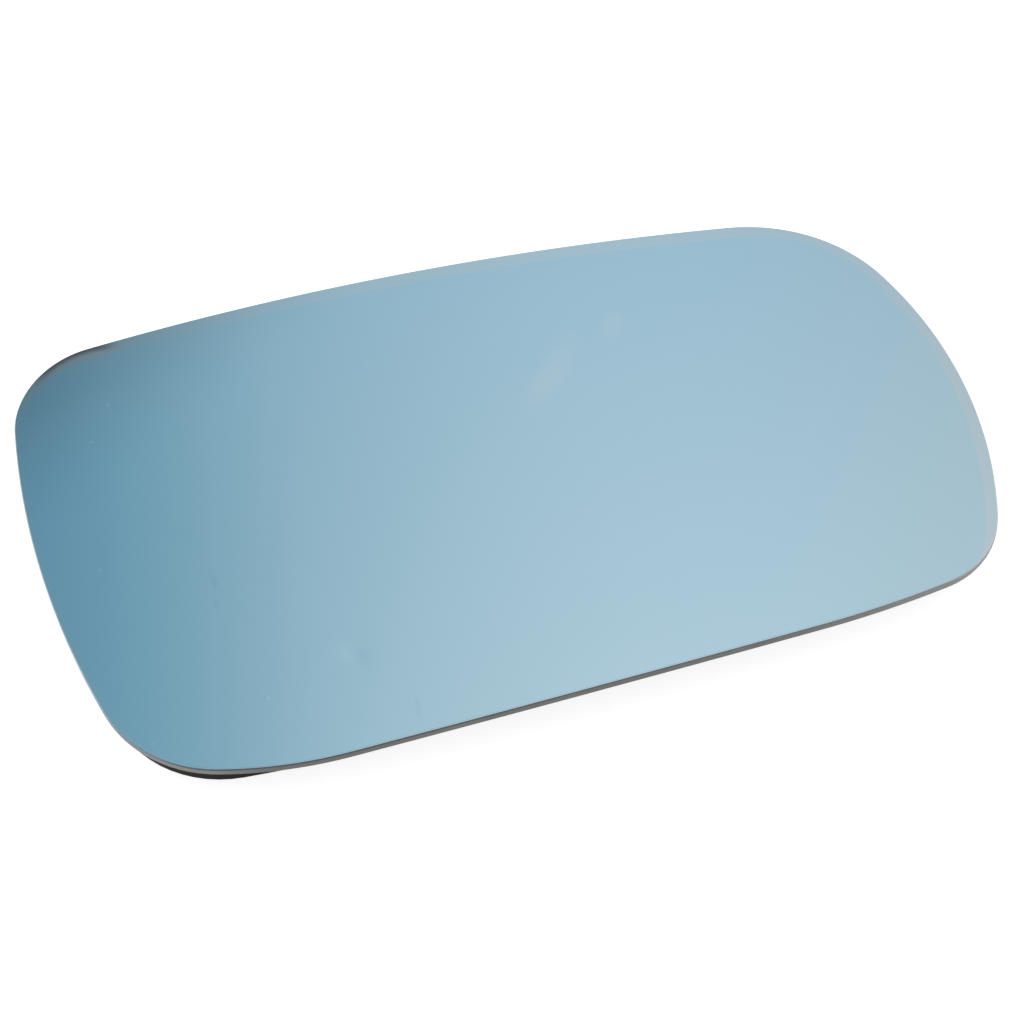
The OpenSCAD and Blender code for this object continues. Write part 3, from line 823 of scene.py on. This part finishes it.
rear = add_node(studio, "ShaderNodeSeparateXYZ", {0: looking}).outputs["Y"]
rearness = add_node(studio, "ShaderNodeMapRange",
                    {"Value": rear, "From Min": REAR_FROM, "From Max": REAR_TO})
tint = add_node(studio, "ShaderNodeMix", {"Factor": rearness.outputs[0], "A": FRONT_TINT, "B": REAR_TINT},
                data_type="RGBA").outputs["Result"]
mirrored = add_node(studio, "ShaderNodeMix", {"Factor": 1.0, "A": sky.outputs["Color"], "B": tint},
                    data_type="RGBA", blend_type="MULTIPLY").outputs["Result"]
mirrored = add_node(studio, "ShaderNodeMix",
                    {"Factor": card_share(*DARK_CARD_AT, *DARK_CARD_EDGE), "A": mirrored,
                     "B": DARK_CARD}, data_type="RGBA", blend_type="MULTIPLY").outputs["Result"]
ray = add_node(studio, "ShaderNodeLightPath").outputs
light = add_node(studio, "ShaderNodeMix", {"Factor": ray["Is Glossy Ray"], "A": WHITE, "B": mirrored},
                 data_type="RGBA").outputs["Result"]
light = add_node(studio, "ShaderNodeMix",
                 {"Factor": card_share(*CAMERA_SIDE_AT, *CAMERA_SIDE_EDGE), "A": light,
                  "B": CAMERA_SIDE}, data_type="RGBA", blend_type="MULTIPLY").outputs["Result"]
seen = add_node(studio, "ShaderNodeMix", {"Factor": ray["Is Camera Ray"], "A": light, "B": WHITE},
                data_type="RGBA").outputs["Result"]
backdrop = studio.nodes["Background"]
studio.links.new(seen, backdrop.inputs["Color"])
backdrop.inputs["Strength"].default_value = 1.0
print("studio nodes:", len(studio.nodes))

# %% [markdown]
# ## Lamp
# One large soft lamp gives the part a lit side and a faint shadow. It is hidden from
# reflections, so that it leaves no bright square in the mirror.
# %% Lamp
LAMP_SIZE = 500.0
LAMP_AT = (350.0, 250.0, 800.0)
LAMP_POWER = 1.5

lamp = bpy.data.lights.new("soft_lamp", "AREA")
lamp.size = LAMP_SIZE * MM
lamp.energy = LAMP_POWER
lamp_stand = bpy.data.objects.new("soft_lamp", lamp)
lamp_stand.location = Vector(LAMP_AT) * MM
lamp_stand.rotation_euler = (-lamp_stand.location).to_track_quat("-Z", "Y").to_euler()
lamp_stand.visible_glossy = False
bpy.context.scene.collection.objects.link(lamp_stand)
print("lamp to the part in mm:", round(lamp_stand.location.length / MM))

# %% [markdown]
# ## Floor
# The floor is pale and matt. It shows as white to the camera, through a little light of its own
# that only camera and mirror rays see, and it keeps the shadow under the part. It has one side
# only: from below it is clear, so that the plate can be looked at from there too.
# %% Floor
FLOOR_SIZE = 6000.0
PAPER_GREY = "#C4C4C4"
FLOOR_GLOW = 0.86
MIRRORED_GLOW = 0.45

matt_floor, tree, shader = new_material("matt_paper_floor", Base_Color=colour(PAPER_GREY),
                                        Roughness=1.0, Specular_IOR_Level=0.0, Emission_Color=WHITE)
ray = add_node(tree, "ShaderNodeLightPath")
seen = add_node(tree, "ShaderNodeMath", {0: ray.outputs["Is Camera Ray"], 1: FLOOR_GLOW},
                operation="MULTIPLY").outputs[0]
mirrored = add_node(tree, "ShaderNodeMath", {0: ray.outputs["Is Glossy Ray"], 1: MIRRORED_GLOW},
                    operation="MULTIPLY").outputs[0]
glow = add_node(tree, "ShaderNodeMath", {0: seen, 1: mirrored}, operation="ADD").outputs[0]
tree.links.new(glow, shader.inputs["Emission Strength"])
behind = add_node(tree, "ShaderNodeNewGeometry").outputs["Backfacing"]
clear = add_node(tree, "ShaderNodeBsdfTransparent").outputs[0]
one_sided = add_node(tree, "ShaderNodeMixShader", {0: behind, 1: shader.outputs[0], 2: clear}).outputs[0]
tree.links.new(one_sided, tree.nodes["Material Output"].inputs["Surface"])
half = FLOOR_SIZE * MM / 2
sheet = bpy.data.meshes.new("floor")
corners = [(-half, -half, 0), (half, -half, 0), (half, half, 0), (-half, half, 0)]
sheet.from_pydata(corners, [], [(0, 1, 2, 3)])
sheet.materials.append(matt_floor)
floor = bpy.data.objects.new("floor", sheet)
bpy.context.scene.collection.objects.link(floor)
print("floor side in mm:", round(FLOOR_SIZE))

# %% [markdown]
# ## Finish
# Colours have to come out as they are written, so the view is left plain.
# %% Finish
bpy.context.scene.view_settings.view_transform = "Standard"
